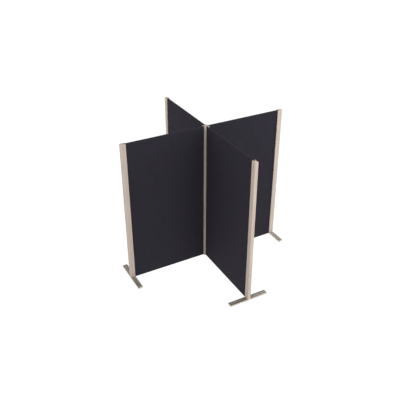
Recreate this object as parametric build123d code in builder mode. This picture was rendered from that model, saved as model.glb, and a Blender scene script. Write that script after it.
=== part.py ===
from build123d import *
import os

# Free-standing acoustic divider screen. Four equal fabric panels stand in a plus round a slim centre post.
# Each wing ends in a timber post on a flat bar foot. The origin is on the centre axis at the floor, Z is up,
# and the wings run out along X and Y. All lengths are in millimetres and all angles in degrees.

# Whole screen
wing_reach = 1050.0  # centre axis to the outer face of an end post
screen_height = 1800.0  # floor to the top of the posts
quarter_turn = 90.0

# Posts
end_post_width = 60.0  # along the panel
end_post_depth = 40.0  # across the panel
centre_post_side = 60.0
post_edge_radius = 1.5
post_top_chamfer = 1.0
centre_groove_depth = 14.0  # how far a panel's edge goes into the centre post
end_groove_depth = 18.0  # how far its other edge goes into an end post and into the slot of the foot
groove_clearance = 0.2  # on each face of the panel
panel_end_gap = 0.3  # between a panel's edge and the floor of a groove

# Feet
foot_length = 500.0
foot_width = 60.0
foot_thickness = 20.0
foot_corner_radius = 3.0
foot_edge_chamfer = 1.0
pad_radius = 18.0
pad_thickness = 2.0
pad_inset = 40.0  # end of the foot to the middle of a pad

# Panels
panel_thickness = 18.0
panel_floor_gap = 3.0
panel_top_drop = 1.0  # top of the posts down to the top of the panel
cloth_thickness = 1.5
cover_edge_radius = 2.0
hem_gap = 5.0  # slit between the two hems under the panel

# Panel frame and core
stile_width = 45.0
rail_width = 45.0
tenon_length = 14.0
tenon_thickness = 5.0
tenon_shoulder = 8.0  # bare height above and below each tenon
joint_gap = 0.3  # end of a tenon to the bottom of its mortise
core_gap = 0.3  # round a core board, apart from the rail that it stands on

# Cam connectors between end posts and panels
cam_radius = 7.5
cam_setback = 34.0  # from the post's inner face
cam_top_drop = 57.0  # below the top of the post
cam_bottom_rise = 57.0  # above the foot of the post
cam_past_middle = 4.5  # how far a cam reaches past the middle of the post
cam_clearance = 0.1
cam_cross_length = 9.0
cam_cross_width = 2.0
cam_cross_depth = 2.5
cam_bolt_radius = 3.0
cam_bolt_grip = 30.0  # length held in the stile
cam_head_radius = 3.8
cam_head_length = 3.0
cam_head_past_middle = 2.0  # how far a head reaches past the cam's axis
cam_pocket_clearance = 0.3
bolt_bore_clearance = 0.1
neck_bore_clearance = 1.0  # round a bolt where it crosses the post or the cloth

# Hook bolts and keyhole plates between panels and centre post
hook_top_drop = 160.0  # top of the post down to the upper bolts
hook_bottom_rise = 160.0  # floor up to the lower bolts
hook_bolt_radius = 3.0
hook_bolt_grip = 30.0
hook_head_radius = 5.5
hook_head_length = 2.5
hook_clearance = 0.3  # between a head and the back of its plate
hook_room = 1.5  # free space round a head inside the post
plate_rim = 1.5  # beside the round entry
plate_end = 8.0  # screw to the end of the plate
plate_thickness = 2.0
keyhole_slot_clearance = 0.2
keyhole_entry_clearance = 1.0
keyhole_lift = 16.0  # how far a panel is lifted off its hooks
plate_screw_land = 8.0  # edge of the pocket to a screw
plate_screw_radius = 1.75
plate_screw_head_radius = 3.4
plate_screw_length = 12.0
plate_screw_clearance = 0.1
plate_screw_sink_angle = 90.0

# Screws that hold the feet
foot_screw_spacing = 22.0  # across the wing
foot_screw_radius = 4.0
foot_screw_head_radius = 6.5
foot_screw_head_height = 6.0
foot_screw_head_room = 2.0  # head below the underside of the foot
foot_screw_head_clearance = 1.5
foot_screw_cam_gap = 4.5  # tip of a screw to the cam above it
foot_screw_clearance = 0.1
foot_screw_socket_width = 6.0
foot_screw_socket_depth = 3.5

overrun = 1.0  # how far a cut starts outside the piece

# Places worked out from the sizes above
post_bottom = pad_thickness + foot_thickness
end_post_height = screen_height - post_bottom
end_post_inner = wing_reach - end_post_width
end_post_centre = wing_reach - end_post_width / 2
foot_centre = wing_reach - foot_width / 2
groove_width = panel_thickness + 2 * groove_clearance
groove_floor_centre = centre_post_side / 2 - centre_groove_depth
groove_floor_end = end_post_inner + end_groove_depth
foot_slot_length = groove_floor_end - wing_reach + foot_width
foot_screw_centre = (groove_floor_end + wing_reach) / 2

panel_inner = groove_floor_centre + panel_end_gap
panel_outer = groove_floor_end - panel_end_gap
panel_length = panel_outer - panel_inner
panel_centre = (panel_inner + panel_outer) / 2
panel_top = screen_height - panel_top_drop
panel_height = panel_top - panel_floor_gap

frame_length = panel_length - 2 * cloth_thickness
frame_thickness = panel_thickness - 2 * cloth_thickness
frame_height = panel_height - 2 * cloth_thickness
frame_bottom = panel_floor_gap + cloth_thickness
frame_inner = panel_inner + cloth_thickness
frame_outer = panel_outer - cloth_thickness
rail_length = frame_length - 2 * stile_width
tenon_height = rail_width - 2 * tenon_shoulder
rail_bottoms = {
    "bottom": frame_bottom,
    "middle": frame_bottom + (frame_height - rail_width) / 2,
    "top": frame_bottom + frame_height - rail_width,
}

cam_reach = end_post_inner + cam_setback
cam_length = end_post_depth / 2 + cam_past_middle
cam_heights = (screen_height - cam_top_drop, post_bottom + cam_bottom_rise)
cam_head_end = cam_reach + cam_head_past_middle
hook_heights = (screen_height - hook_top_drop, hook_bottom_rise)
plate_back = groove_floor_centre - plate_thickness
keyhole_slot_width = 2 * (hook_bolt_radius + keyhole_slot_clearance)
keyhole_entry_radius = hook_head_radius + keyhole_entry_clearance
pocket_width = 2 * (hook_head_radius + hook_room)
pocket_height = keyhole_lift + pocket_width
pocket_depth = hook_clearance + hook_head_length + hook_room
plate_width = 2 * (keyhole_entry_radius + plate_rim)
plate_screw_spacing = pocket_height + 2 * plate_screw_land
plate_height = plate_screw_spacing + 2 * plate_end
plate_heights = [height + keyhole_lift / 2 for height in hook_heights]
foot_counterbore_depth = foot_screw_head_room + foot_screw_head_height
foot_screw_grip = cam_bottom_rise - cam_radius - foot_screw_cam_gap

# Each wing: how many quarter turns it stands from +X, and the side that its upper cam is set in from
wings = {"right": (0, -1), "back": (1, 1), "left": (2, 1), "front": (3, -1)}

# The lower cam of a post is set in from the side opposite to the upper one
cam_ways = (1, -1)


def floor_plane(turns):
    """Floor plane of a wing: its X runs out along the wing and its Z is up."""
    return Plane.XY.rotated((0, 0, turns * quarter_turn))


def facing_out(wing, reach, height):
    """Upright plane across a wing that looks away from the centre, with its Y up."""
    return Plane(wing.from_local_coords((reach, 0, height)), x_dir=wing.y_dir, z_dir=wing.x_dir)


def facing_in(wing, reach, height):
    """Upright plane across a wing that looks towards the centre, with its Y up."""
    return Plane(wing.from_local_coords((reach, 0, height)), x_dir=-wing.y_dir, z_dir=-wing.x_dir)


def facing_side(wing, reach, side, height):
    """Upright plane on one side face of an end post, looking away from the post."""
    origin = wing.from_local_coords((reach, side * end_post_depth / 2, height))
    return Plane(origin, x_dir=wing.x_dir, z_dir=wing.y_dir * side)


def save(part, name):
    """Labels a piece and writes its file."""
    part.label = name
    export_step(part, f"parts/{name}.step")


def end_post(wing, side):
    """Timber post grooved for the panel, with a cam hole in each side, bolt holes and screw holes."""
    with BuildPart() as post:
        with BuildSketch(wing.offset(post_bottom)):
            with Locations((end_post_centre, 0)):
                RectangleRounded(end_post_width, end_post_depth, post_edge_radius)
        extrude(amount=end_post_height)
        chamfer(post.faces().sort_by(Axis.Z)[-1].edges(), length=post_top_chamfer)
        with BuildSketch(wing.offset(post_bottom)):
            with Locations((groove_floor_end, 0)):
                Rectangle(end_groove_depth + overrun, groove_width, align=(Align.MAX, Align.CENTER))
        extrude(amount=end_post_height, mode=Mode.SUBTRACT)
        for height, way in zip(cam_heights, cam_ways):
            with Locations(facing_side(wing, cam_reach, side * way, height)):
                Hole(radius=cam_radius + cam_clearance, depth=cam_length + cam_clearance)
            with Locations(facing_in(wing, end_post_inner, height)):
                Hole(radius=cam_bolt_radius + neck_bore_clearance, depth=cam_setback)
        underside = Plane(
            wing.from_local_coords((foot_screw_centre, 0, post_bottom)), x_dir=wing.x_dir, z_dir=-wing.z_dir
        )
        with Locations(underside):
            with GridLocations(0, foot_screw_spacing, 1, 2):
                Hole(radius=foot_screw_radius + foot_screw_clearance, depth=foot_screw_grip + overrun)
    return post.part


def foot(wing):
    """Flat bar across the foot of an end post, slotted for the panel and counterbored for its two screws."""
    with BuildPart() as bar:
        with BuildSketch(wing.offset(pad_thickness)):
            with Locations((foot_centre, 0)):
                RectangleRounded(foot_width, foot_length, foot_corner_radius)
        extrude(amount=foot_thickness)
        rims = bar.faces().filter_by(Axis.Z).edges()
        chamfer(rims, length=foot_edge_chamfer)
        with BuildSketch(wing.offset(pad_thickness)):
            with Locations((groove_floor_end, 0)):
                Rectangle(foot_slot_length + overrun, groove_width, align=(Align.MAX, Align.CENTER))
        extrude(amount=foot_thickness, mode=Mode.SUBTRACT)
        underside = Plane(
            wing.from_local_coords((foot_screw_centre, 0, pad_thickness)), x_dir=wing.x_dir, z_dir=-wing.z_dir
        )
        with Locations(underside):
            with GridLocations(0, foot_screw_spacing, 1, 2):
                CounterBoreHole(
                    radius=foot_screw_radius + foot_screw_clearance,
                    counter_bore_radius=foot_screw_head_radius + foot_screw_head_clearance,
                    counter_bore_depth=foot_counterbore_depth,
                )
    return bar.part


def fabric_cover(wing):
    """Tight cloth sleeve round a panel, folded under it into two hems with a slit between."""
    with BuildPart() as cover:
        with BuildSketch(wing.offset(panel_floor_gap)):
            with Locations((panel_centre, 0)):
                Rectangle(panel_length, panel_thickness)
        extrude(amount=panel_height)
        fillet(cover.edges(), radius=cover_edge_radius)
        with BuildSketch(wing.offset(frame_bottom)):
            with Locations((panel_centre, 0)):
                Rectangle(frame_length, frame_thickness)
        extrude(amount=frame_height, mode=Mode.SUBTRACT)
        with BuildSketch(wing.offset(panel_floor_gap - overrun)):
            with Locations((panel_centre, 0)):
                Rectangle(frame_length, hem_gap)
        extrude(amount=cloth_thickness + overrun, mode=Mode.SUBTRACT)
        for height in cam_heights:
            with Locations(facing_out(wing, panel_outer, height)):
                Hole(radius=cam_bolt_radius + neck_bore_clearance, depth=cloth_thickness)
        for height in hook_heights:
            with Locations(facing_in(wing, panel_inner, height)):
                Hole(radius=hook_bolt_radius + neck_bore_clearance, depth=cloth_thickness)
    return cover.part


def stile(wing, edge, joint_face, bore_plane, bore_heights, bore_radius, bore_depth):
    """Upright of a panel frame: mortised for three rails, bored from its free edge for the bolts."""
    with BuildPart() as upright:
        with BuildSketch(wing.offset(frame_bottom)):
            with Locations(((edge + joint_face) / 2, 0)):
                Rectangle(stile_width, frame_thickness)
        extrude(amount=frame_height)
        into_stile = facing_out if joint_face < edge else facing_in
        for bottom in rail_bottoms.values():
            with BuildSketch(into_stile(wing, joint_face, bottom + rail_width / 2)):
                Rectangle(tenon_thickness, tenon_height)
            extrude(amount=tenon_length + joint_gap, mode=Mode.SUBTRACT)
        for height in bore_heights:
            with Locations(bore_plane(wing, edge, height)):
                Hole(radius=bore_radius + bolt_bore_clearance, depth=bore_depth)
    return upright.part


def rail(wing, bottom):
    """Level bar of a panel frame with a stub tenon at each end."""
    with BuildPart() as bar:
        with BuildSketch(wing.offset(bottom)):
            with Locations((panel_centre, 0)):
                Rectangle(rail_length, frame_thickness)
        extrude(amount=rail_width)
        with BuildSketch(wing.offset(bottom + tenon_shoulder)):
            with Locations((panel_centre, 0)):
                Rectangle(rail_length + 2 * tenon_length, tenon_thickness)
        extrude(amount=tenon_height)
    return bar.part


def core(wing, lower_rail, upper_rail):
    """Sound-absorbing board that stands on one rail and stops just under the next."""
    bottom = rail_bottoms[lower_rail] + rail_width
    with BuildPart() as board:
        with BuildSketch(wing.offset(bottom)):
            with Locations((panel_centre, 0)):
                Rectangle(rail_length - 2 * core_gap, frame_thickness - 2 * core_gap)
        extrude(amount=rail_bottoms[upper_rail] - bottom - core_gap)
    return board.part


def centre_post():
    """Square post with a groove in each face, and keyhole plates let into the bottoms of the grooves."""
    post_height = screen_height - panel_floor_gap
    with BuildPart() as post:
        with BuildSketch(Plane.XY.offset(panel_floor_gap)):
            RectangleRounded(centre_post_side, centre_post_side, post_edge_radius)
        extrude(amount=post_height)
        chamfer(post.faces().sort_by(Axis.Z)[-1].edges(), length=post_top_chamfer)
        for turns, _ in wings.values():
            wing = floor_plane(turns)
            with BuildSketch(wing.offset(panel_floor_gap)):
                with Locations((groove_floor_centre, 0)):
                    Rectangle(centre_groove_depth + overrun, groove_width, align=(Align.MIN, Align.CENTER))
            extrude(amount=post_height, mode=Mode.SUBTRACT)
            for height in plate_heights:
                groove_floor = facing_out(wing, groove_floor_centre, height)
                with BuildSketch(groove_floor):
                    Rectangle(plate_width, plate_height)
                extrude(amount=-plate_thickness, mode=Mode.SUBTRACT)
                with BuildSketch(groove_floor):
                    Rectangle(pocket_width, pocket_height)
                extrude(amount=-(plate_thickness + pocket_depth), mode=Mode.SUBTRACT)
                with Locations(groove_floor):
                    with GridLocations(0, plate_screw_spacing, 1, 2):
                        Hole(
                            radius=plate_screw_radius + plate_screw_clearance,
                            depth=plate_screw_length + plate_screw_clearance,
                        )
    return post.part


def keyhole_plates():
    """Steel plates, each with a round entry and a slot that runs down to where its hook bolt rests."""
    with BuildPart() as plates:
        for turns, _ in wings.values():
            for height in plate_heights:
                face = facing_out(floor_plane(turns), groove_floor_centre, height)
                with BuildSketch(face):
                    Rectangle(plate_width, plate_height)
                    with Locations((0, -keyhole_lift / 2)):
                        Circle(keyhole_slot_width / 2, mode=Mode.SUBTRACT)
                        Rectangle(
                            keyhole_slot_width, keyhole_lift, align=(Align.CENTER, Align.MIN), mode=Mode.SUBTRACT
                        )
                    with Locations((0, keyhole_lift / 2)):
                        Circle(keyhole_entry_radius, mode=Mode.SUBTRACT)
                extrude(amount=-plate_thickness)
                with Locations(face):
                    with GridLocations(0, plate_screw_spacing, 1, 2):
                        CounterSinkHole(
                            radius=plate_screw_radius + plate_screw_clearance,
                            counter_sink_radius=plate_screw_head_radius + plate_screw_clearance,
                            depth=plate_thickness + overrun,
                            counter_sink_angle=plate_screw_sink_angle,
                        )
    return plates.part


def plate_screws():
    """Countersunk screws that hold the keyhole plates, two to a plate, flush with its face."""
    head_height = plate_screw_head_radius - plate_screw_radius
    upright = (Align.CENTER, Align.CENTER, Align.MIN)
    with BuildPart() as screws:
        for turns, _ in wings.values():
            for height in plate_heights:
                with Locations(facing_in(floor_plane(turns), groove_floor_centre, height)):
                    with GridLocations(0, plate_screw_spacing, 1, 2):
                        Cone(plate_screw_head_radius, plate_screw_radius, head_height, align=upright)
                        Cylinder(plate_screw_radius, plate_screw_length, align=upright)
    return screws.part


def hook_bolts():
    """Headed bolts in the panels' inner edges. Their necks cross the plates and the heads catch behind."""
    neck_end = plate_back - hook_clearance
    with BuildPart() as bolts:
        for turns, _ in wings.values():
            wing = floor_plane(turns)
            for height in hook_heights:
                start = frame_inner + hook_bolt_grip
                with BuildSketch(facing_in(wing, start, height)):
                    Circle(hook_bolt_radius)
                extrude(amount=start - neck_end)
                with BuildSketch(facing_in(wing, neck_end, height)):
                    Circle(hook_head_radius)
                extrude(amount=hook_head_length)
    return bolts.part


def cam_bolts():
    """Bolts in the panels' outer edges whose heads end inside the cams."""
    with BuildPart() as bolts:
        for turns, _ in wings.values():
            wing = floor_plane(turns)
            for height in cam_heights:
                start = frame_outer - cam_bolt_grip
                with BuildSketch(facing_out(wing, start, height)):
                    Circle(cam_bolt_radius)
                extrude(amount=cam_head_end - start)
                with BuildSketch(facing_out(wing, cam_head_end, height)):
                    Circle(cam_head_radius)
                extrude(amount=-cam_head_length)
    return bolts.part


def cam_locks():
    """Round cams flush with a side of each end post, cross-slotted outside and hollow where a bolt enters."""
    pocket_end = cam_head_end + cam_pocket_clearance
    with BuildPart() as cams:
        for turns, side in wings.values():
            wing = floor_plane(turns)
            for height, way in zip(cam_heights, cam_ways):
                face = facing_side(wing, cam_reach, side * way, height)
                with BuildSketch(face):
                    Circle(cam_radius)
                extrude(amount=-cam_length)
                with BuildSketch(face):
                    Rectangle(cam_cross_length, cam_cross_width)
                    Rectangle(cam_cross_width, cam_cross_length)
                extrude(amount=-cam_cross_depth, mode=Mode.SUBTRACT)
                with BuildSketch(facing_in(wing, pocket_end, height)):
                    Circle(cam_head_radius + cam_pocket_clearance)
                extrude(amount=pocket_end - cam_reach + cam_radius + overrun, mode=Mode.SUBTRACT)
    return cams.part


def foot_screws():
    """Socket-head screws that come up through the feet into the posts."""
    head_bottom = pad_thickness + foot_screw_head_room
    with BuildPart() as screws:
        for turns, _ in wings.values():
            wing = floor_plane(turns)
            for place in (-foot_screw_spacing / 2, foot_screw_spacing / 2):
                with BuildSketch(wing.offset(head_bottom)):
                    with Locations((foot_screw_centre, place)):
                        Circle(foot_screw_head_radius)
                extrude(amount=foot_screw_head_height)
                with BuildSketch(wing.offset(head_bottom)):
                    with Locations((foot_screw_centre, place)):
                        Circle(foot_screw_radius)
                extrude(amount=post_bottom + foot_screw_grip - head_bottom)
                with BuildSketch(wing.offset(head_bottom)):
                    with Locations((foot_screw_centre, place)):
                        RegularPolygon(foot_screw_socket_width / 2, 6, major_radius=False)
                extrude(amount=foot_screw_socket_depth, mode=Mode.SUBTRACT)
    return screws.part


def foot_pads():
    """Round anti-slip pads under both ends of each foot."""
    with BuildPart() as pads:
        for turns, _ in wings.values():
            with BuildSketch(floor_plane(turns)):
                with Locations((foot_centre, 0)):
                    with GridLocations(0, foot_length - 2 * pad_inset, 1, 2):
                        Circle(pad_radius)
            extrude(amount=pad_thickness)
    return pads.part


def main():
    """Builds and writes every piece."""
    os.makedirs("parts", exist_ok=True)
    for name, (turns, side) in wings.items():
        wing = floor_plane(turns)
        save(end_post(wing, side), f"end_post_{name}")
        save(foot(wing), f"foot_{name}")
        save(fabric_cover(wing), f"fabric_cover_{name}")
        outer_joint = frame_outer - stile_width
        inner_joint = frame_inner + stile_width
        save(
            stile(wing, frame_outer, outer_joint, facing_out, cam_heights, cam_bolt_radius, cam_bolt_grip),
            f"outer_stile_{name}",
        )
        save(
            stile(wing, frame_inner, inner_joint, facing_in, hook_heights, hook_bolt_radius, hook_bolt_grip),
            f"inner_stile_{name}",
        )
        for level, bottom in rail_bottoms.items():
            save(rail(wing, bottom), f"{level}_rail_{name}")
        save(core(wing, "middle", "top"), f"upper_core_{name}")
        save(core(wing, "bottom", "middle"), f"lower_core_{name}")
    save(centre_post(), "centre_post")
    save(keyhole_plates(), "keyhole_plates")
    save(plate_screws(), "plate_screws")
    save(hook_bolts(), "hook_bolts")
    save(cam_bolts(), "cam_bolts")
    save(cam_locks(), "cam_locks")
    save(foot_screws(), "foot_screws")
    save(foot_pads(), "foot_pads")


main()
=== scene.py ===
"""Acoustic divider screen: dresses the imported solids, makes the cloth and felt, and sets the studio.

Four fabric panels stand in a plus, held by grooves in a centre post and four end posts, each end post on a
bar foot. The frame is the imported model's: metres, Z up, the origin on the floor under the centre post.
"""

import logging
import math
from collections.abc import Sequence
from dataclasses import dataclass
from enum import Enum
import bpy
import numpy as np
from bpy.types import Material, Node, NodeSocket, NodeTree, Object
from mathutils import Matrix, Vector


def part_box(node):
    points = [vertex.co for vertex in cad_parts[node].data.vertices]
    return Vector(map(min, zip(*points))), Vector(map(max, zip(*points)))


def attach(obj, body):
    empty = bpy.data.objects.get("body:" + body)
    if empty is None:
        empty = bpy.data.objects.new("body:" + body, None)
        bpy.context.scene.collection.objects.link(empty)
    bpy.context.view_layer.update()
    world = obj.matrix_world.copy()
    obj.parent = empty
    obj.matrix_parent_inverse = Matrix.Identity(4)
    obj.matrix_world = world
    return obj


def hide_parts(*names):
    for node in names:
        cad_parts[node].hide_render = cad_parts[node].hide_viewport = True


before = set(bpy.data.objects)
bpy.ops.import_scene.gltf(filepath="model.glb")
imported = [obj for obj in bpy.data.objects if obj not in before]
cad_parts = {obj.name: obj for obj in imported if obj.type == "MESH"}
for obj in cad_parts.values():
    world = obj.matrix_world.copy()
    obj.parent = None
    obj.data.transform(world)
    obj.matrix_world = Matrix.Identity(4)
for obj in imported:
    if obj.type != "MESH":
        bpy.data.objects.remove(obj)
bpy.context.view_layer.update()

MM = 0.001
# A mix node has the sockets of every kind at once. These are the numbers of the ones used here.
NUMBER_A, NUMBER_B = 2, 3
COLOUR_A, COLOUR_B, COLOUR_OUT = 6, 7, 2
NOISE_SPAN = (0.3, 0.7)  # nearly all of a noise texture lies between these two
SMOOTH = {"interpolation_type": "SMOOTHSTEP"}
Inputs = dict[int | str, object] | Sequence[object]
Pair = tuple[float, float]
Triple = tuple[float, float, float]
log = logging.getLogger("screen")


class Wing(Enum):
    """The four wings, each with its number of quarter turns from +X."""

    RIGHT = 0
    BACK = 1
    LEFT = 2
    FRONT = 3

    @property
    def label(self) -> str:
        """Name of the wing as the nodes have it."""
        return self.name.lower()

    @property
    def angle(self) -> float:
        """Turn of the wing about Z, in radians."""
        return self.value * math.pi / 2

    @property
    def cos_sin(self) -> tuple[int, int]:
        """Cosine and sine of the turn, which are whole numbers at every quarter."""
        return round(math.cos(self.angle)), round(math.sin(self.angle))

    def to_frame(self, points: np.ndarray) -> np.ndarray:
        """Turns points from the wing's own axes (X out along it) into the shared frame.

        Args:
            points: N x 3 array in the wing's axes.

        Returns:
            N x 3 array in the shared frame.
        """
        cos, sin = self.cos_sin
        x, y, z = points.T
        return np.stack([cos * x - sin * y, sin * x + cos * y, z], axis=1)

    def span(self, node: str) -> tuple[Pair, Pair]:
        """Extents of a CAD node in the wing's own axes.

        Args:
            node: Name of the node.

        Returns:
            (nearest, furthest) along the wing and (lowest, highest) up it, in metres.
        """
        low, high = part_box(node)
        cos, sin = self.cos_sin
        along = sorted([cos * low.x + sin * low.y, cos * high.x + sin * high.y])
        return (along[0], along[1]), (low.z, high.z)


def linear(hex_colour: str) -> tuple[float, float, float, float]:
    """Turns an sRGB hex colour into linear light.

    Args:
        hex_colour: Colour such as "#2E2B33".

    Returns:
        Linear red, green, blue, and an alpha of one.
    """
    parts = [int(hex_colour[i : i + 2], 16) / 255 for i in (1, 3, 5)]
    red, green, blue = (c / 12.92 if c <= 0.04045 else ((c + 0.055) / 1.055) ** 2.4 for c in parts)
    return red, green, blue, 1.0


def feed(node: Node, inputs: Inputs) -> None:
    """Fills inputs of a node.

    Args:
        node: The node.
        inputs: For each input, by name or number, a value, the socket that feeds it, or the node whose first
            output does. A sequence fills the inputs from the first one on.
    """
    items = inputs.items() if isinstance(inputs, dict) else enumerate(inputs)
    for key, value in items:
        if isinstance(value, Node):
            value = value.outputs[0]
        if isinstance(value, NodeSocket):
            node.id_data.links.new(value, node.inputs[key])
        else:
            node.inputs[key].default_value = value


def add_node(tree: NodeTree, kind: str, inputs: Inputs = (), **settings: object) -> Node:
    """Adds a node to a tree with its settings and links.

    Args:
        tree: Node tree that gets the node.
        kind: Blender's name for the node type.
        inputs: What fills its inputs, as feed takes it.
        **settings: Properties of the node.

    Returns:
        The new node.
    """
    node = tree.nodes.new(kind)
    for name, value in settings.items():
        setattr(node, name, value)
    feed(node, inputs)
    return node


def new_surface(name: str, **constants: object) -> tuple[Material, NodeTree, Node]:
    """Starts a material with one physically based surface.

    Args:
        name: Name of the real material and how it was made.
        **constants: Values for the surface's sockets, with spaces in a socket's name as underscores.

    Returns:
        The material, its node tree and its surface node.
    """
    material = bpy.data.materials.new(name)
    material.use_nodes = True
    tree = material.node_tree
    tree.nodes.clear()
    values = {key.replace("_", " "): value for key, value in constants.items()}
    surface = add_node(tree, "ShaderNodeBsdfPrincipled", values)
    add_node(tree, "ShaderNodeOutputMaterial", {"Surface": surface})
    return material, tree, surface


@dataclass(frozen=True)
class WhiteOiledAsh:
    """Ash, planed and rubbed with white oil.

    To the eye it is a soft pinkish grey, pale and dull, with low rings and fine long pores, and lighter arrises.
    """

    pale: str = "#B8ABA0"
    latewood: str = "#A29286"
    streak: str = "#AC9D92"
    pore: str = "#84756A"
    rubbed: str = "#C4B9AF"
    ring_mm: float = 3.4  # growth rings of a slow-grown ash
    ring_share: float = 0.6
    late_from: float = 0.35  # share of a ring after which it darkens
    late_until: float = 0.95  # share after which it turns pale again at once
    drift_mm: float = 46.0  # how far the log's heart wanders
    drift_per_mm: Triple = (0.004, 0.004, 0.0011)  # waves of it across and up the post
    streak_mm: Pair = (14.0, 420.0)  # width and length of the broad tone bands, the grain that shows from afar
    fibre_mm: Pair = (0.55, 26.0)
    pore_share: float = 0.7
    arris_mm: float = 3.0  # width of the rubbed edge
    crest_mm: float = 0.6  # width that is rubbed all through
    arris_share: float = 0.35
    end_grain: float = 0.88  # end grain drinks more oil, so it is darker
    roughness: Pair = (0.52, 0.68)
    relief_mm: float = 0.06

    def build(self, name: str, centre: Pair, turn: float, half: Pair, log_axis: Pair, tone: float) -> Material:
        """Makes the timber of one post.

        Args:
            name: Name of the material.
            centre: Axis of the post on plan, in metres.
            turn: Turn of the post about Z, in radians.
            half: Half the width and half the depth of the post, in millimetres.
            log_axis: Heart of the log, from the post's axis, in millimetres.
            tone: How light this log is beside the others.

        Returns:
            The material.
        """
        material, tree, surface = new_surface(name, IOR=1.47, Specular_IOR_Level=0.35)
        # The post's own axes, in millimetres.
        place = add_node(tree, "ShaderNodeTexCoord").outputs["Object"]
        axes = [place, (*centre, 0.0), (0.0, 0.0, turn), (MM, MM, MM)]
        local = add_node(tree, "ShaderNodeMapping", axes, vector_type="TEXTURE")
        rings = self.add_rings(tree, local, log_axis)
        grains = []
        for (width, length), detail, roughness in ((self.streak_mm, 3.0, 0.55), (self.fibre_mm, 2.0, 0.6)):
            scale = (1 / width, 1 / width, 1 / length)
            drawn_out = add_node(tree, "ShaderNodeMapping", {"Vector": local, "Scale": scale})
            noise = {"Vector": drawn_out, "Scale": 1.0, "Detail": detail, "Roughness": roughness}
            grains.append(add_node(tree, "ShaderNodeTexNoise", noise))
        streaks, fibres = grains
        pores = add_node(tree, "ShaderNodeMapRange", [fibres, 0.66, 0.78, 0.0, self.pore_share], **SMOOTH)
        band = add_node(tree, "ShaderNodeMapRange", [streaks, 0.36, 0.66, 0.0, 1.0], **SMOOTH)
        ring_share = add_node(tree, "ShaderNodeMath", [rings, self.ring_share], operation="MULTIPLY")
        # Arris: both sides of an edge are near at once, so the two distances added are small only there.
        reach = add_node(tree, "ShaderNodeVectorMath", [local], operation="ABSOLUTE")
        sides = add_node(tree, "ShaderNodeSeparateXYZ", [reach]).outputs
        from_edge = add_node(tree, "ShaderNodeMath", [sides[0], sides[1]], operation="ADD")
        corner = sum(half)
        arris_range = [from_edge, corner - self.arris_mm, corner - self.crest_mm, 0.0, self.arris_share]
        arris = add_node(tree, "ShaderNodeMapRange", arris_range, **SMOOTH)
        colour = linear(self.pale)
        layers = (band, self.streak), (ring_share, self.latewood), (pores, self.pore), (arris, self.rubbed)
        for share, paint in layers:  # each layer lies over the one before
            mixed = {0: share, COLOUR_A: colour, COLOUR_B: linear(paint)}
            colour = add_node(tree, "ShaderNodeMix", mixed, data_type="RGBA").outputs[COLOUR_OUT]
        normal = add_node(tree, "ShaderNodeNewGeometry").outputs["Normal"]
        up = add_node(tree, "ShaderNodeSeparateXYZ", [normal]).outputs[2]
        on_end = add_node(tree, "ShaderNodeMapRange", [up, 0.6, 0.9, tone, tone * self.end_grain])
        toned = add_node(tree, "ShaderNodeVectorMath", {0: colour, "Scale": on_end}, operation="SCALE")
        dull = add_node(tree, "ShaderNodeMapRange", [fibres, *NOISE_SPAN, *self.roughness])
        relief = add_node(tree, "ShaderNodeMath", [fibres, rings], operation="SUBTRACT")
        bump = add_node(tree, "ShaderNodeBump", {"Height": relief, "Distance": self.relief_mm * MM, "Strength": 0.5})
        feed(surface, {"Base Color": toned, "Roughness": dull, "Normal": bump})
        return material

    def add_rings(self, tree: NodeTree, local: Node, log_axis: Pair) -> Node:
        """Adds the growth rings, from the distance to the log's heart.

        The heart wanders slowly up the post, which draws the rings out into long arches on the faces.

        Args:
            tree: Node tree of the timber.
            local: Node that gives the place in the post, in millimetres.
            log_axis: Heart of the log, from the post's axis, in millimetres.

        Returns:
            Node that gives how dark the ring is, from 0 to 1.
        """
        slow = add_node(tree, "ShaderNodeMapping", {"Vector": local, "Scale": self.drift_per_mm})
        drift = add_node(tree, "ShaderNodeTexNoise", {"Vector": slow, "Scale": 1.0, "Detail": 2.0}).outputs[1]
        swing = (self.drift_mm, self.drift_mm, 0.0)
        start = (-self.drift_mm / 2 - log_axis[0], -self.drift_mm / 2 - log_axis[1], 0.0)
        shift = add_node(tree, "ShaderNodeVectorMath", [drift, swing, start], operation="MULTIPLY_ADD")
        from_heart = add_node(tree, "ShaderNodeVectorMath", [local, shift], operation="ADD")
        level = add_node(tree, "ShaderNodeVectorMath", [from_heart, (1.0, 1.0, 0.0)], operation="MULTIPLY")
        radius = add_node(tree, "ShaderNodeVectorMath", [level], operation="LENGTH").outputs["Value"]
        ring = add_node(tree, "ShaderNodeMath", [radius, 1.0 / self.ring_mm], operation="MULTIPLY")
        phase = add_node(tree, "ShaderNodeMath", [ring], operation="FRACT")
        # Each ring darkens slowly to its latewood and then stops short.
        late = add_node(tree, "ShaderNodeMapRange", [phase, self.late_from, self.late_until, 0.0, 1.0], **SMOOTH)
        stops = add_node(tree, "ShaderNodeMapRange", [phase, self.late_until, 1.0, 1.0, 0.0], **SMOOTH)
        return add_node(tree, "ShaderNodeMath", [late, stops], operation="MULTIPLY")


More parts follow.
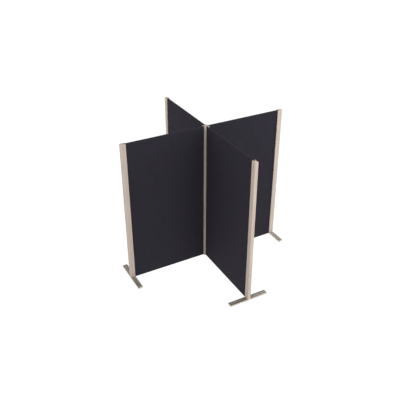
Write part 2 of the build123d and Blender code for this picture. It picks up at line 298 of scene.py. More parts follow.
@dataclass(frozen=True)
class PlanedPine:
    """Pine straight off the planer, not oiled: yellow to the eye, with wide soft rings."""

    pale: str = "#DCC19A"
    latewood: str = "#B98A57"
    late_share: float = 0.6
    ring_mm: float = 5.5
    swings: float = 14.0  # times that the tone swings over the whole range of the noise
    fibre_mm: float = 0.7
    stretch: float = 0.03  # how much slower everything changes along the grain
    roughness: Pair = (0.6, 0.75)
    relief_mm: float = 0.08

    def build(self, name: str, grain: Triple) -> Material:
        """Makes the timber of the frame pieces that lie one way.

        Args:
            name: Name of the material.
            grain: Unit vector along the grain.

        Returns:
            The material.
        """
        material, tree, surface = new_surface(name, IOR=1.5, Specular_IOR_Level=0.4)
        place = add_node(tree, "ShaderNodeTexCoord").outputs["Object"]
        squeeze = tuple((1.0 if abs(g) < 0.5 else self.stretch) / MM for g in grain)
        across = add_node(tree, "ShaderNodeMapping", {"Vector": place, "Scale": squeeze})
        broad = {"Vector": across, "Scale": 0.35 / self.ring_mm, "Detail": 1.0}
        waves = add_node(tree, "ShaderNodeTexNoise", broad)
        phase = add_node(tree, "ShaderNodeMath", [waves, self.swings], operation="MULTIPLY")
        swing = add_node(tree, "ShaderNodeMath", [phase, 1.0], operation="PINGPONG")
        fibres = add_node(tree, "ShaderNodeTexNoise", {"Vector": across, "Scale": 1 / self.fibre_mm, "Detail": 2.0})
        late = add_node(tree, "ShaderNodeMapRange", [swing, 0.55, 1.0, 0.0, self.late_share])
        mixed = {0: late, COLOUR_A: linear(self.pale), COLOUR_B: linear(self.latewood)}
        colour = add_node(tree, "ShaderNodeMix", mixed, data_type="RGBA").outputs[COLOUR_OUT]
        dull = add_node(tree, "ShaderNodeMapRange", [fibres, *NOISE_SPAN, *self.roughness])
        bump = add_node(tree, "ShaderNodeBump", {"Height": fibres, "Distance": self.relief_mm * MM, "Strength": 0.5})
        feed(surface, {"Base Color": colour, "Roughness": dull, "Normal": bump})
        return material


@dataclass(frozen=True)
class WovenWool:
    """Wool in a plain weave, dyed charcoal and drawn tight.

    To the eye it is matt and faintly violet, mixed from lighter and darker fibres.
    """

    ground: str = "#28252E"
    dark_yarn: str = "#1E1C23"
    light_fibre: str = "#42404C"
    fleece: str = "#B9B6C4"
    yarn_mm: float = 2.2  # a coarse hopsack; finer yarn would vanish in any view of the whole screen
    lift: float = 0.4  # share of its height by which a yarn rises and falls as it passes over and under
    dye: Pair = (0.45, 0.1)  # spread, from yarn to yarn, and least share of the darker dye
    mottle_mm: float = 70.0  # slow change of tone where the wool took the dye unevenly
    mottle: Pair = (0.93, 1.07)
    depth: Pair = (0.62, 1.04)  # painted shade between the yarns, and a little painted light on top of them
    fuzz_mm: float = 0.35
    fuzz_share: float = 0.5
    painted_top_shade: float = 0.68  # painted shade: the cloth on the top edge is painted darker than on the faces
    roughness: Pair = (0.85, 0.97)
    relief_mm: float = 0.5

    def build(self, name: str) -> Material:
        """Makes the cloth, which follows the sleeve's own UV map in metres.

        Args:
            name: Name of the material.

        Returns:
            The material.
        """
        tint = linear(self.fleece)
        material, tree, surface = new_surface(
            name, IOR=1.45, Specular_IOR_Level=0.15, Sheen_Weight=0.08, Sheen_Roughness=0.45, Sheen_Tint=tint
        )
        uv = add_node(tree, "ShaderNodeUVMap", uv_map="cloth").outputs[0]
        weave, tone = self.add_weave(tree, uv)
        clouds = {"Vector": uv, "Scale": 1 / (self.mottle_mm * MM), "Detail": 4.0, "Roughness": 0.6}
        mottle = add_node(tree, "ShaderNodeTexNoise", clouds)
        fuzz = add_node(tree, "ShaderNodeTexNoise", {"Vector": uv, "Scale": 1 / (self.fuzz_mm * MM), "Detail": 2.0})
        dyed = add_node(tree, "ShaderNodeMath", [tone, *self.dye], operation="MULTIPLY_ADD")
        heather = add_node(tree, "ShaderNodeMapRange", [fuzz, 0.6, 0.8, 0.0, self.fuzz_share], **SMOOTH)
        colour = linear(self.ground)
        for share, paint in ((dyed, self.dark_yarn), (heather, self.light_fibre)):
            mixed = {0: share, COLOUR_A: colour, COLOUR_B: linear(paint)}
            colour = add_node(tree, "ShaderNodeMix", mixed, data_type="RGBA").outputs[COLOUR_OUT]
        # Painted shade: the colour is darkened where the weave is low, between the yarns, and lifted a little on
        # their tops.
        depth = add_node(tree, "ShaderNodeMapRange", [weave, 0.0, 0.7, *self.depth])
        uneven = add_node(tree, "ShaderNodeMapRange", [mottle, *NOISE_SPAN, *self.mottle])
        toned = add_node(tree, "ShaderNodeMath", [depth, uneven], operation="MULTIPLY")
        # Painted shade: where the cloth faces up, on the top edge, its colour is darkened.
        normal = add_node(tree, "ShaderNodeNewGeometry").outputs["Normal"]
        up = add_node(tree, "ShaderNodeSeparateXYZ", [normal]).outputs[2]
        top_edge_shading = add_node(tree, "ShaderNodeMapRange", [up, 0.4, 0.95, 1.0, self.painted_top_shade])
        strength = add_node(tree, "ShaderNodeMath", [toned, top_edge_shading], operation="MULTIPLY")
        shaded = add_node(tree, "ShaderNodeVectorMath", {0: colour, "Scale": strength}, operation="SCALE")
        dull = add_node(tree, "ShaderNodeMapRange", [fuzz, *NOISE_SPAN, *self.roughness])
        relief = add_node(tree, "ShaderNodeMath", [fuzz, 0.25, weave], operation="MULTIPLY_ADD")
        bump = add_node(tree, "ShaderNodeBump", {"Height": relief, "Distance": self.relief_mm * MM, "Strength": 0.6})
        feed(surface, {"Base Color": shaded, "Roughness": dull, "Normal": bump})
        return material

    def add_weave(self, tree: NodeTree, uv: NodeSocket) -> tuple[Node, Node]:
        """Adds the plain weave.

        With s and t counted in yarns, sin(pi s) sin(pi t) changes sign from one crossing to the next, and its
        sign says whether the upright yarn or the level one lies on top there. The height of each yarn is its
        round section times its lift, and the higher of the two shows, with its own tone.

        Args:
            tree: Node tree of the cloth.
            uv: Socket that gives the place on the cloth, in metres.

        Returns:
            Nodes that give the height of the weave and the tone of the yarn on top, each from 0 to 1.
        """
        yarn = {0: uv, "Scale": 1 / (self.yarn_mm * MM)}
        yarns = add_node(tree, "ShaderNodeVectorMath", yarn, operation="SCALE")
        counts = add_node(tree, "ShaderNodeSeparateXYZ", [yarns]).outputs
        sines, rounds, tones = [], [], []
        for count in (counts[0], counts[1]):
            angle = add_node(tree, "ShaderNodeMath", [count, math.pi], operation="MULTIPLY")
            sines.append(add_node(tree, "ShaderNodeMath", [angle], operation="SINE"))
            rounds.append(add_node(tree, "ShaderNodeMath", [sines[-1]], operation="ABSOLUTE"))
            number = add_node(tree, "ShaderNodeMath", [count], operation="FLOOR")
            tones.append(add_node(tree, "ShaderNodeTexWhiteNoise", {"W": number}, noise_dimensions="1D"))
        crossing = add_node(tree, "ShaderNodeMath", sines, operation="MULTIPLY")
        heights = []
        for section, way in zip(rounds, (self.lift, -self.lift)):
            rise = add_node(tree, "ShaderNodeMath", [crossing, way, 1 - self.lift], operation="MULTIPLY_ADD")
            heights.append(add_node(tree, "ShaderNodeMath", [section, rise], operation="MULTIPLY"))
        weave = add_node(tree, "ShaderNodeMath", heights, operation="MAXIMUM")
        on_top = add_node(tree, "ShaderNodeMath", heights, operation="GREATER_THAN")
        choice = {0: on_top, NUMBER_A: tones[1], NUMBER_B: tones[0]}
        return weave, add_node(tree, "ShaderNodeMix", choice, data_type="FLOAT")


@dataclass(frozen=True)
class NeedledFelt:
    """Polyester felt, needled and pressed into a board: to the eye a pale grey fleece of mixed fibres."""

    pale: str = "#A9ABAE"
    dark: str = "#6F7276"
    fibre_mm: float = 1.4
    relief_mm: float = 0.4

    def build(self, name: str) -> Material:
        """Makes the felt.

        Args:
            name: Name of the material.

        Returns:
            The material.
        """
        material, tree, surface = new_surface(
            name, IOR=1.45, Specular_IOR_Level=0.1, Sheen_Weight=0.3, Sheen_Roughness=0.6, Roughness=0.95
        )
        place = add_node(tree, "ShaderNodeTexCoord").outputs["Object"]
        noise = {"Scale": 1 / (self.fibre_mm * MM), "Detail": 4.0, "Roughness": 0.7, "Distortion": 1.5}
        fleece = add_node(tree, "ShaderNodeTexNoise", {"Vector": place, **noise})
        share = add_node(tree, "ShaderNodeMapRange", [fleece, 0.35, 0.65, 0.0, 1.0])
        mixed = {0: share, COLOUR_A: linear(self.pale), COLOUR_B: linear(self.dark)}
        colour = add_node(tree, "ShaderNodeMix", mixed, data_type="RGBA").outputs[COLOUR_OUT]
        bump = add_node(tree, "ShaderNodeBump", {"Height": fleece, "Distance": self.relief_mm * MM, "Strength": 0.7})
        feed(surface, {"Base Color": colour, "Normal": bump})
        return material


@dataclass(frozen=True)
class BrushedSteel:
    """Flat steel bar, brushed along its length and clear coated: to the eye a warm grey with long fine scratches.

    The narrow sides keep the smoother skin of drawn bar, and their colour is painted brighter: a painted reflection
    of the floor's light.
    """

    bright: str = "#BBB4AA"
    dark: str = "#A39C92"
    painted_side_reflection: float = 1.42  # painted reflection: how much brighter the narrow sides are painted than the brushed faces
    scratch_mm: Pair = (1.1, 160.0)  # width and length; real grit lines are finer than can show
    cloud_mm: float = 50.0
    roughness: Pair = (0.52, 0.68)
    skin_roughness: Pair = (0.3, 0.38)
    relief_mm: float = 0.03

    def build(self, name: str, turn: float, tone: float) -> Material:
        """Makes the steel of one foot.

        Args:
            name: Name of the material.
            turn: Turn of the foot's wing about Z, in radians, so that the scratches run across the wing.
            tone: How much lighter or darker this bar is painted beside the others, a painted stand-in for the light
                each foot reflects.

        Returns:
            The material.
        """
        material, tree, surface = new_surface(name, Metallic=1.0, Anisotropic=0.4)
        place = add_node(tree, "ShaderNodeTexCoord").outputs["Object"]
        # The foot's own axes, in millimetres, with Y along the bar.
        axes = {"Vector": place, "Rotation": (0.0, 0.0, turn), "Scale": (MM, MM, MM)}
        local = add_node(tree, "ShaderNodeMapping", axes, vector_type="TEXTURE")
        width, length = self.scratch_mm
        scale = (1 / width, 1 / length, 1 / width)
        lines = add_node(tree, "ShaderNodeMapping", {"Vector": local, "Scale": scale})
        grit = add_node(tree, "ShaderNodeTexNoise", {"Vector": lines, "Scale": 1.0, "Detail": 3.0, "Roughness": 0.7})
        cloud = add_node(tree, "ShaderNodeTexNoise", {"Vector": local, "Scale": 1 / self.cloud_mm, "Detail": 3.0})
        blend = add_node(tree, "ShaderNodeMath", [grit, cloud], operation="ADD")
        share = add_node(tree, "ShaderNodeMapRange", [blend, 0.75, 1.25, 0.0, 1.0])
        mixed = {0: share, COLOUR_A: linear(self.bright), COLOUR_B: linear(self.dark)}
        colour = add_node(tree, "ShaderNodeMix", mixed, data_type="RGBA").outputs[COLOUR_OUT]
        # The narrow sides are where the surface stands upright.
        normal = add_node(tree, "ShaderNodeNewGeometry").outputs["Normal"]
        up = add_node(tree, "ShaderNodeSeparateXYZ", [normal]).outputs[2]
        level = add_node(tree, "ShaderNodeMath", [up], operation="ABSOLUTE")
        narrow = add_node(tree, "ShaderNodeMapRange", [level, 0.25, 0.6, 1.0, 0.0])
        # Painted reflection: the narrow sides are painted brighter than the faces, as if they threw back the floor's
        # light.
        painted_reflection_gains = {0: narrow, NUMBER_A: tone, NUMBER_B: self.painted_side_reflection}
        painted_reflection_gain = add_node(tree, "ShaderNodeMix", painted_reflection_gains, data_type="FLOAT")
        toned = add_node(tree, "ShaderNodeVectorMath", {0: colour, "Scale": painted_reflection_gain}, operation="SCALE")
        brushed = add_node(tree, "ShaderNodeMapRange", [grit, *NOISE_SPAN, *self.roughness])
        skin = add_node(tree, "ShaderNodeMapRange", [grit, *NOISE_SPAN, *self.skin_roughness])
        dull = add_node(tree, "ShaderNodeMix", {0: narrow, NUMBER_A: brushed, NUMBER_B: skin}, data_type="FLOAT")
        bump = add_node(tree, "ShaderNodeBump", {"Height": grit, "Distance": self.relief_mm * MM, "Strength": 0.6})
        feed(surface, {"Base Color": toned, "Roughness": dull, "Normal": bump})
        return material


@dataclass(frozen=True)
class SpeckledMetal:
    """Zinc, cast or plated: to the eye an even grey with a fine grain."""

    bright: str
    dark: str
    grain_mm: float
    roughness: Pair
    relief_mm: float = 0.04

    def build(self, name: str) -> Material:
        """Makes the metal.

        Args:
            name: Name of the material.

        Returns:
            The material.
        """
        material, tree, surface = new_surface(name, Metallic=1.0)
        place = add_node(tree, "ShaderNodeTexCoord").outputs["Object"]
        grain = add_node(
            tree, "ShaderNodeTexNoise", {"Vector": place, "Scale": 1 / (self.grain_mm * MM), "Detail": 3.0}
        )
        share = add_node(tree, "ShaderNodeMapRange", [grain, 0.35, 0.65, 0.0, 1.0])
        mixed = {0: share, COLOUR_A: linear(self.bright), COLOUR_B: linear(self.dark)}
        colour = add_node(tree, "ShaderNodeMix", mixed, data_type="RGBA").outputs[COLOUR_OUT]
        dull = add_node(tree, "ShaderNodeMapRange", [grain, *NOISE_SPAN, *self.roughness])
        bump = add_node(tree, "ShaderNodeBump", {"Height": grain, "Distance": self.relief_mm * MM, "Strength": 0.5})
        feed(surface, {"Base Color": colour, "Roughness": dull, "Normal": bump})
        return material


@dataclass(frozen=True)
class MouldedRubber:
    """Black rubber, moulded: to the eye matt and slightly dusty."""

    black: str = "#1B1B1C"
    dust: str = "#3A3937"
    dust_share: float = 0.6
    grain_mm: float = 0.8
    roughness: Pair = (0.75, 0.9)

    def build(self, name: str) -> Material:
        """Makes the rubber.

        Args:
            name: Name of the material.

        Returns:
            The material.
        """
        material, tree, surface = new_surface(name, IOR=1.52, Specular_IOR_Level=0.3)
        place = add_node(tree, "ShaderNodeTexCoord").outputs["Object"]
        grain = add_node(
            tree, "ShaderNodeTexNoise", {"Vector": place, "Scale": 1 / (self.grain_mm * MM), "Detail": 4.0}
        )
        share = add_node(tree, "ShaderNodeMapRange", [grain, 0.5, 0.8, 0.0, self.dust_share])
        mixed = {0: share, COLOUR_A: linear(self.black), COLOUR_B: linear(self.dust)}
        colour = add_node(tree, "ShaderNodeMix", mixed, data_type="RGBA").outputs[COLOUR_OUT]
        dull = add_node(tree, "ShaderNodeMapRange", [grain, *NOISE_SPAN, *self.roughness])
        feed(surface, {"Base Color": colour, "Roughness": dull})
        return material


def dress(node: str, material: Material) -> None:
    """Gives a CAD node's object one material.

    Args:
        node: Name of the node.
        material: The material.
    """
    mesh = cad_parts[node].data
    mesh.materials.clear()
    mesh.materials.append(material)


@dataclass(frozen=True)
class SlabShape:
    """A thin upright box with rounded edges, as a closed loop carried up a profile, in a wing's own axes.

    A point of the loop is a point of a small core rectangle plus an outward step. A row of the profile has a
    height and an inset, and the inset shortens the step, so that the edges come out round.
    """

    along: Pair
    up: Pair
    half_thickness: float
    side_radius: float
    edge_radius: float
    pitch: float
    hem: float = 0.0  # how far the cloth is turned under; none closes the underside instead
    round_steps: int = 4  # steps in a quarter turn
    hem_rows: int = 3
    least_step: float = 0.1  # the step is never shortened below this share of the side radius

    def loop(self) -> tuple[np.ndarray, np.ndarray]:
        """Points of the core rectangle and outward unit steps, once round, with the second half mirrored.

        Returns:
            Two N x 2 arrays, of core points and of steps.
        """
        half_length = (self.along[1] - self.along[0]) / 2
        core_x, core_y = half_length - self.side_radius, self.half_thickness - self.side_radius
        count = max(2, round(2 * core_x / self.pitch))
        side_x = np.linspace(core_x, -core_x, count + 1)
        turn = np.linspace(0.0, math.pi / 2, self.round_steps + 1)
        core_along = np.concatenate([np.full(self.round_steps, core_x), side_x, np.full(self.round_steps, -core_x)])
        cores = np.stack([core_along, np.full(len(core_along), -core_y)], 1)
        steps = np.concatenate(
            [
                np.stack([np.cos(turn[:-1]), -np.sin(turn[:-1])], 1),
                np.tile([0.0, -1.0], (count + 1, 1)),
                np.stack([-np.sin(turn[1:]), -np.cos(turn[1:])], 1),
            ]
        )
        mirror = np.array([1.0, -1.0])
        cores = np.concatenate([cores, cores[::-1] * mirror])
        steps = np.concatenate([steps, steps[::-1] * mirror])
        return cores, steps

    def profile(self) -> tuple[np.ndarray, np.ndarray]:
        """Insets and heights of the rows: the hem if there is one, a quarter round, the side, a quarter round.

        Returns:
            Two arrays, of insets and of heights.
        """
        low, high = self.up
        radius = self.edge_radius
        turn = np.linspace(0.0, math.pi / 2, self.round_steps + 1)
        rows = max(2, round((high - low - 2 * radius) / self.pitch))
        side = np.linspace(low + radius, high - radius, rows + 1)
        insets = [radius * (1 - np.sin(turn)), np.zeros(rows - 1), radius * (1 - np.cos(turn))]
        heights = [low + radius * (1 - np.cos(turn)), side[1:-1], high - radius + radius * np.sin(turn)]
        if self.hem:
            insets.insert(0, np.linspace(radius + self.hem, radius, self.hem_rows + 1)[:-1])
            heights.insert(0, np.full(self.hem_rows, low))
        return np.concatenate(insets), np.concatenate(heights)

    def grid(self) -> tuple[np.ndarray, np.ndarray, np.ndarray]:
        """All points of the surface, row by row.

        Where a row's inset is more than the side radius, its core rectangle shrinks by the rest.

        Returns:
            Points as rows x N x 3, the insets of the rows, and for each point of the loop which flat side it is
            on: 1 and -1 for the two large faces and 0 for the rounded ends.
        """
        cores, steps = self.loop()
        insets, heights = self.profile()
        left = np.maximum(self.side_radius - insets, self.least_step * self.side_radius)[:, None, None]
        over = np.maximum(insets - self.side_radius, 0.0)[:, None]
        shrink = 1 - over / np.abs(cores).max(axis=0)
        plan = cores[None] * shrink[:, None, :] + left * steps[None]
        points = np.empty((*plan.shape[:2], 3))
        points[..., 0] = plan[..., 0] + sum(self.along) / 2
        points[..., 1] = plan[..., 1]
        points[..., 2] = heights[:, None]
        flat_side = np.sign(steps[:, 1]) * (np.abs(steps[:, 1]) > 0.99)
        return points, insets, flat_side

    def faces(self, rows: int, count: int) -> np.ndarray:
        """Faces of the wall and of the closed ends.

        Args:
            rows: Number of rows.
            count: Points in a row.

        Returns:
            M x 4 array of point numbers, wall first, then the top, then the underside if it is closed.
        """
        near = np.arange(count // 2 - 1)
        lid = np.stack([near, count - 1 - near, count - 2 - near, near + 1], -1)
        parts = [ring_faces(rows, count), (rows - 1) * count + lid]
        if not self.hem:
            parts.append(lid[:, ::-1])
        return np.concatenate(parts)


def ring_faces(rows: int, count: int) -> np.ndarray:
    """Faces between rows of points that each run once round.

    Args:
        rows: Number of rows.
        count: Points in a row.

    Returns:
        M x 4 array of point numbers.
    """
    row, col = np.meshgrid(np.arange(rows - 1), np.arange(count), indexing="ij")
    nxt = (col + 1) % count
    corners = [row * count + col, (row + 1) * count + col, (row + 1) * count + nxt, row * count + nxt]
    return np.stack(corners, -1).reshape(-1, 4)


def add_piece(name: str, points: np.ndarray, faces: np.ndarray, material: Material) -> Object:
    """Makes a smooth mesh object whose place is in its mesh.

    Args:
        name: Name of the piece.
        points: N x 3 array in the shared frame, in metres.
        faces: M x 4 array of point numbers.
        material: The piece's material.

    Returns:
        The new object.
    """
    mesh = bpy.data.meshes.new(name)
    mesh.from_pydata(points.tolist(), [], faces.tolist())
    mesh.polygons.foreach_set("use_smooth", np.ones(len(mesh.polygons), dtype=bool))
    mesh.materials.append(material)
    mesh.update()
    piece = bpy.data.objects.new(name, mesh)
    bpy.context.scene.collection.objects.link(piece)
    return piece


@dataclass(frozen=True)
class Panel:
    """One fabric panel: a pine frame, two felt boards in it and a wool sleeve drawn tight over both."""

    wing: Wing
    wool: Material
    felt: Material
    pine_upright: Material
    pine_level: Material
    half_thickness: float = 9.0 * MM
    cloth_thickness: float = 1.1 * MM
    corner_radius: float = 3.0 * MM
    edge_radius: float = 2.4 * MM
    hem: float = 4.1 * MM
    pitch: float = 10.0 * MM
    stile_width: float = 46.5 * MM  # a frame timber and the cloth over its edge
    post_cover: float = 34.0 * MM  # length of each end that is in a groove or just outside it
    edge_fade: float = 12.0 * MM  # height over which the relief dies out at the top and bottom edges
    crown: float = 0.55 * MM  # how far the felt pushes the cloth out between the timbers
    flatness: float = 0.35  # power of the half sines; the lower it is, the flatter the crown's middle
    ripple: float = 0.16 * MM
    board_half_thickness: float = 7.1 * MM
    board_radii: Pair = (1.6 * MM, 1.5 * MM)  # of its upright and of its level edges
    board_pitch: float = 24.0 * MM
    board_crown: float = 0.3 * MM

    @property
    def frame_nodes(self) -> list[str]:
        """Nodes of the panel's frame."""
        names = ("outer_stile", "inner_stile", "bottom_rail", "middle_rail", "top_rail")
        return [f"{name}_{self.wing.label}" for name in names]

    def relief(self, points: np.ndarray, along: Pair, up: Pair) -> np.ndarray:
        """How far the cloth stands out of its plane.

        Between the timbers it is a low crown, the product of two flattened half sines, one along the panel and
        one up each half of it. Over everything go three long, shallow waves: one along the panel, one up it and
        one aslant. All of it fades to nothing at the posts and at the top and bottom edges.

        Args:
            points: Points of the sleeve in the wing's own axes, rows x N x 3.
            along: Ends of the panel along the wing.
            up: Bottom and top of the panel.

        Returns:
            Rows x N array, in metres.
        """
        x, y, z = np.moveaxis(points, -1, 0)
        half_up = (up[1] - up[0]) / 2
        across = np.clip((x - along[0] - self.stile_width) / (along[1] - along[0] - 2 * self.stile_width), 0, 1)
        lower = np.clip((z - up[0] - self.stile_width) / (half_up - 1.5 * self.stile_width), 0, 1)
        upper = np.clip((z - up[0] - half_up - 0.5 * self.stile_width) / (half_up - 1.5 * self.stile_width), 0, 1)
        across, lower, upper = (np.sin(np.pi * share) ** self.flatness for share in (across, lower, upper))
        bulge = across * (lower + upper)
        side = np.sign(y)
        number = self.wing.value  # so that no two panels have the same waves
        waves = (
            np.sin(x / 0.067 + 1.3 * side + 2.1 * z + number)
            + np.sin(z / 0.083 + 0.7 * number + 1.9 * x * side)
            + np.sin((x + z) / 0.041 + 2.2 * number)
        )
        ends = np.clip(np.minimum(x - along[0], along[1] - x) / self.post_cover - 1, 0, 1)
        edges = np.clip(np.minimum(z - up[0], up[1] - z) / self.edge_fade - 0.3, 0, 1)
        fade = ends * ends * (3 - 2 * ends) * edges * edges * (3 - 2 * edges)
        return (self.crown * bulge + self.ripple * waves) * fade

    def make_sleeve(self) -> Object:
        """Builds the wool sleeve, with its UV map in metres round it and up it.

        Returns:
            The sleeve.
        """
        node = f"fabric_cover_{self.wing.label}"
        along, up = self.wing.span(node)
        slab = SlabShape(along, up, self.half_thickness, self.corner_radius, self.edge_radius, self.pitch, self.hem)
        points, insets, flat_side = slab.grid()
        points[..., 1] += self.relief(points, along, up) * flat_side[None, :]
        rows, count = points.shape[:2]
        faces = slab.faces(rows, count)
        in_frame = self.wing.to_frame(points.reshape(-1, 3))
        piece = add_piece(f"wool_sleeve_{self.wing.label}", in_frame, faces, self.wool)
        # Round the sleeve, and up the cloth along its profile; the lid carries on from the near face.
        middle_row = points[rows // 2]
        round_it = np.concatenate([[0.0], np.cumsum(np.linalg.norm(np.diff(middle_row, axis=0), axis=1))])
        whole = round_it[-1] + np.linalg.norm(middle_row[0] - middle_row[-1])
        profile = np.stack([insets, points[:, 0, 2]], 1)
        up_it = np.concatenate([[0.0], np.cumsum(np.linalg.norm(np.diff(profile, axis=0), axis=1))])
        u = round_it[faces % count]
        v = up_it[faces // count]
        wall = (rows - 1) * count
        closing = np.arange(wall) % count == count - 1
        u[:wall][closing, 2:] = whole
        lid_u = np.stack([round_it[: count // 2 - 1], round_it[1 : count // 2]], 1)
        u[wall:] = lid_u[:, [0, 0, 1, 1]]
        v[wall:, 1:3] += 2 * (slab.half_thickness - self.edge_radius)
        layer = piece.data.uv_layers.new(name="cloth")
        layer.data.foreach_set("uv", np.stack([u, v], -1).astype(np.float32).ravel())
        wall_of_cloth = piece.modifiers.new("cloth thickness", "SOLIDIFY")
        wall_of_cloth.thickness = self.cloth_thickness
        wall_of_cloth.offset = -1.0
        wall_of_cloth.use_even_offset = False
        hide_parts(node)
        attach(piece, "root")
        return piece

    def make_board(self, part: str) -> Object:
        """Builds a felt board with soft edges and faintly crowned faces.

        Args:
            part: "upper" or "lower".

        Returns:
            The board.
        """
        node = f"{part}_core_{self.wing.label}"
        along, up = self.wing.span(node)
        slab = SlabShape(along, up, self.board_half_thickness, *self.board_radii, self.board_pitch)
        points, _, flat_side = slab.grid()
        x = np.clip((points[..., 0] - along[0]) / (along[1] - along[0]), 0, 1)
        z = np.clip((points[..., 2] - up[0]) / (up[1] - up[0]), 0, 1)
        points[..., 1] += self.board_crown * (np.sin(np.pi * x) * np.sin(np.pi * z)) ** 0.5 * flat_side[None, :]
        rows, count = points.shape[:2]
        in_frame = self.wing.to_frame(points.reshape(-1, 3))
        piece = add_piece(f"felt_board_{part}_{self.wing.label}", in_frame, slab.faces(rows, count), self.felt)
        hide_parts(node)
        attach(piece, "root")
        return piece

    def build(self) -> None:
        """Dresses the frame and makes the boards and the sleeve."""
        for node in self.frame_nodes:
            dress(node, self.pine_upright if "stile" in node else self.pine_level)
        for part in ("lower", "upper"):
            board = self.make_board(part)
            log.info("made %s, %d faces", board.name, len(board.data.polygons))
        sleeve = self.make_sleeve()
        log.info("made %s, %d faces", sleeve.name, len(sleeve.data.polygons))


@dataclass(frozen=True)
class Posts:
    """The centre post and the four end posts, all of one timber, each cut from its own place in a log."""

    timber: WhiteOiledAsh
    end_half: Pair = (30.0, 20.0)
    centre_half: Pair = (30.0, 30.0)

    def build(self) -> None:
        """Dresses the five posts."""
        # For each post the heart of its log, in millimetres from the post's axis, and how light the log is.
        logs = {
            Wing.RIGHT: ((70.0, 48.0), 1.04),
            Wing.BACK: ((-62.0, 55.0), 1.09),
            Wing.LEFT: ((58.0, -66.0), 0.95),
            Wing.FRONT: ((-75.0, -44.0), 0.98),
        }
        for wing, (heart, tone) in logs.items():
            node = f"end_post_{wing.label}"
            low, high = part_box(node)
            centre = ((low.x + high.x) / 2, (low.y + high.y) / 2)
            name = f"white oiled ash, {wing.label} post"
            dress(node, self.timber.build(name, centre, wing.angle, self.end_half, heart, tone))
            log.info("dressed %s", node)
        name = "white oiled ash, centre post"
        dress("centre_post", self.timber.build(name, (0.0, 0.0), 0.0, self.centre_half, (66.0, 52.0), 0.95))
        log.info("dressed centre_post")


@dataclass(frozen=True)
class Feet:
    """The four steel bar feet and the rubber pads under them."""

    steel: BrushedSteel
    rubber: MouldedRubber

    def build(self) -> None:
        """Dresses the feet, each brushed along its own length, and the pads."""
        # Painted reflection: each foot's steel is painted lighter or darker for the light it reflects, not for a
        # different steel.
        tones = {Wing.RIGHT: 1.19, Wing.BACK: 1.0, Wing.LEFT: 0.98, Wing.FRONT: 0.92}
        for wing, tone in tones.items():
            dress(f"foot_{wing.label}", self.steel.build(f"brushed steel, {wing.label} foot", wing.angle, tone))
            log.info("dressed foot_%s", wing.label)
        dress("foot_pads", self.rubber.build("moulded rubber"))
        log.info("dressed foot_pads")


@dataclass(frozen=True)
class Fittings:
    """Cams, bolts, plates and screws."""

    cast: SpeckledMetal
    plated: SpeckledMetal

    def build(self) -> None:
        """Dresses the cast cams and the plated fittings."""
        dress("cam_locks", self.cast.build("die-cast zinc"))
        plated = self.plated.build("zinc plated steel")
        for node in ("cam_bolts", "hook_bolts", "keyhole_plates", "plate_screws", "foot_screws"):
            dress(node, plated)
        log.info("dressed the fittings")


@dataclass(frozen=True)
class Lamp:
    """A soft square lamp: its name, where it stands in metres, and its power in watts."""

    name: str
    place: Triple
    power: float


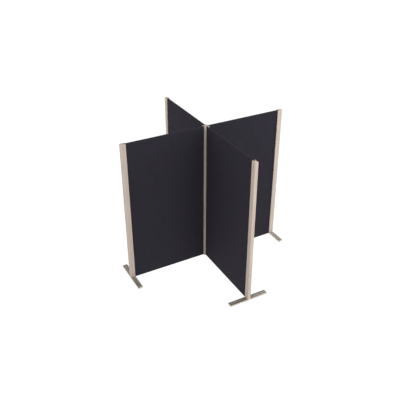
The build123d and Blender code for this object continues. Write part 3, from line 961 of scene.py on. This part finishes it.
@dataclass(frozen=True)
class Studio:
    """A pale floor, an even dome of light and four soft lamps, with the camera at the photograph's angle."""

    lens: float = 50.77
    sensor: float = 36.0
    azimuth: float = -28.57  # degrees round from straight ahead
    elevation: float = 30.85
    distance: float = 7.356  # step back along the line of sight, in metres
    offset_right: float = -0.0673  # steps aside and up, square to the line of sight
    offset_up: float = 0.6950
    panel_gap: float = 0.003  # the steps start on the centre axis, level with the panels' lower edge
    floor_radius: float = 30.0
    floor_rings: int = 14
    floor_spokes: int = 96
    floor_colour: str = "#505050"
    floor_glow: float = 1.0
    floor_dust: Pair = (0.99, 1.0)
    sky_low: float = 1.06
    sky_middle: float = 0.56
    sky_high: float = 0.27
    lamps: tuple[Lamp, ...] = (
        Lamp("front lamp", (0.8, -5.8, 3.4), 185.0),
        Lamp("side lamp", (-5.0, 1.6, 3.0), 75.0),
        Lamp("right lamp", (5.6, -1.6, 3.2), 128.0),
        Lamp("top lamp", (0.4, -0.6, 6.5), 149.0),
    )
    lamp_size: float = 2.6
    lamp_aim: Triple = (0.0, 0.0, 0.9)  # half way up the screen

    def make_floor(self) -> None:
        """Builds a round floor that is lit from within, so that it is white and the screen throws no shadow on it.

        Its radius grows with the square of the ring, and the angle runs once round.
        """
        rings, spokes = self.floor_rings, self.floor_spokes
        radius = self.floor_radius * (np.arange(1, rings + 1) / rings) ** 2
        angle = np.linspace(0, 2 * math.pi, spokes, endpoint=False)
        points = np.zeros((rings, spokes, 3))
        points[..., 0] = radius[:, None] * np.cos(angle)
        points[..., 1] = radius[:, None] * np.sin(angle)
        faces = [*ring_faces(rings, spokes).tolist(), list(range(spokes))]
        mesh = bpy.data.meshes.new("studio_floor")
        mesh.from_pydata(points.reshape(-1, 3).tolist(), [], faces)
        material, tree, surface = new_surface(
            "matt studio floor",
            Roughness=1.0,
            Specular_IOR_Level=0.0,
            Emission_Color=(1.0, 1.0, 1.0, 1.0),
            Emission_Strength=self.floor_glow,
        )
        place = add_node(tree, "ShaderNodeTexCoord").outputs["Object"]
        dust = add_node(tree, "ShaderNodeTexNoise", {"Vector": place, "Scale": 3.0, "Detail": 4.0})
        tone = add_node(tree, "ShaderNodeMapRange", [dust, *NOISE_SPAN, *self.floor_dust])
        paint = {0: linear(self.floor_colour)[:3], "Scale": tone}
        colour = add_node(tree, "ShaderNodeVectorMath", paint, operation="SCALE")
        feed(surface, {"Base Color": colour})
        mesh.materials.append(material)
        floor = bpy.data.objects.new("studio_floor", mesh)
        bpy.context.scene.collection.objects.link(floor)

    def make_sky(self) -> None:
        """Builds the dome: one strength at the horizon, one half way up and one overhead, blended by height."""
        world = bpy.data.worlds.new("studio dome")
        world.use_nodes = True
        tree = world.node_tree
        tree.nodes.clear()
        direction = add_node(tree, "ShaderNodeTexCoord").outputs["Generated"]
        height = add_node(tree, "ShaderNodeSeparateXYZ", [direction]).outputs[2]
        lower = add_node(tree, "ShaderNodeMapRange", [height, 0.0, 0.5, self.sky_low, self.sky_middle])
        upper = add_node(tree, "ShaderNodeMapRange", [height, 0.5, 1.0, 0.0, self.sky_high - self.sky_middle])
        strength = add_node(tree, "ShaderNodeMath", [lower, upper], operation="ADD")
        background = add_node(tree, "ShaderNodeBackground", {"Color": (1.0, 1.0, 1.0, 1.0), "Strength": strength})
        add_node(tree, "ShaderNodeOutputWorld", {"Surface": background})
        bpy.context.scene.world = world

    def make_lamp(self, lamp: Lamp) -> None:
        """Adds a lamp that looks at the screen.

        Args:
            lamp: The lamp.
        """
        data = bpy.data.lights.new(lamp.name, "AREA")
        data.shape = "SQUARE"
        data.size = self.lamp_size
        data.energy = lamp.power
        back = np.array(lamp.place) - np.array(self.lamp_aim)
        light = bpy.data.objects.new(lamp.name, data)
        light.matrix_world = self.look(np.array(lamp.place), -back / np.linalg.norm(back))
        bpy.context.scene.collection.objects.link(light)

    @staticmethod
    def look(place: np.ndarray, forward: np.ndarray) -> Matrix:
        """Works out the placing of a thing that looks along its own -Z, with its Y as near upright as can be.

        Args:
            place: Where it stands.
            forward: Unit vector that it looks along.

        Returns:
            The 4 x 4 matrix.
        """
        right = np.cross(forward, [0.0, 0.0, 1.0])
        right /= np.linalg.norm(right)
        upward = np.cross(right, forward)
        columns = np.stack([right, upward, -forward, place], axis=1)
        return Matrix([*columns.tolist(), [0.0, 0.0, 0.0, 1.0]])

    def make_camera(self) -> None:
        """Adds the camera: from the foot of the centre axis it steps aside, up and back along its own axes."""
        azimuth, elevation = math.radians(-self.azimuth), math.radians(self.elevation)
        forward = np.array(
            [math.sin(azimuth) * math.cos(elevation), math.cos(azimuth) * math.cos(elevation), -math.sin(elevation)]
        )
        right = np.array([math.cos(azimuth), -math.sin(azimuth), 0.0])
        upward = np.cross(right, forward)
        place = self.offset_right * right + self.offset_up * upward - self.distance * forward
        place[2] += self.panel_gap
        data = bpy.data.cameras.new("camera")
        data.lens = self.lens
        data.sensor_width = self.sensor
        data.clip_end = 200.0
        camera = bpy.data.objects.new("camera", data)
        camera.matrix_world = self.look(place, forward)
        bpy.context.scene.collection.objects.link(camera)
        bpy.context.scene.camera = camera

    def build(self) -> None:
        """Makes the floor, the dome, the lamps and the camera."""
        self.make_floor()
        self.make_sky()
        for lamp in self.lamps:
            self.make_lamp(lamp)
        self.make_camera()
        bpy.context.scene.view_settings.view_transform = "Standard"
        log.info("set the studio")


def main() -> None:
    """Builds the screen's looks and the studio."""
    logging.basicConfig(level=logging.INFO, format="%(message)s", force=True)
    Posts(WhiteOiledAsh()).build()
    Feet(BrushedSteel(), MouldedRubber()).build()
    cast_zinc = SpeckledMetal("#A3A4A3", "#858685", 1.5, (0.45, 0.6))
    zinc_plating = SpeckledMetal("#C3C5C6", "#A7A9AB", 0.9, (0.25, 0.4))
    Fittings(cast_zinc, zinc_plating).build()
    pine = PlanedPine()
    wool = WovenWool().build("charcoal wool, plain weave")
    felt = NeedledFelt().build("needled polyester felt")
    pine_upright = pine.build("planed pine, uprights", (0.0, 0.0, 1.0))
    pine_x = pine.build("planed pine, rails along X", (1.0, 0.0, 0.0))
    pine_y = pine.build("planed pine, rails along Y", (0.0, 1.0, 0.0))
    for wing in Wing:
        Panel(wing, wool, felt, pine_upright, pine_x if wing in (Wing.RIGHT, Wing.LEFT) else pine_y).build()
    Studio().build()


if __name__ == "__main__":
    main()
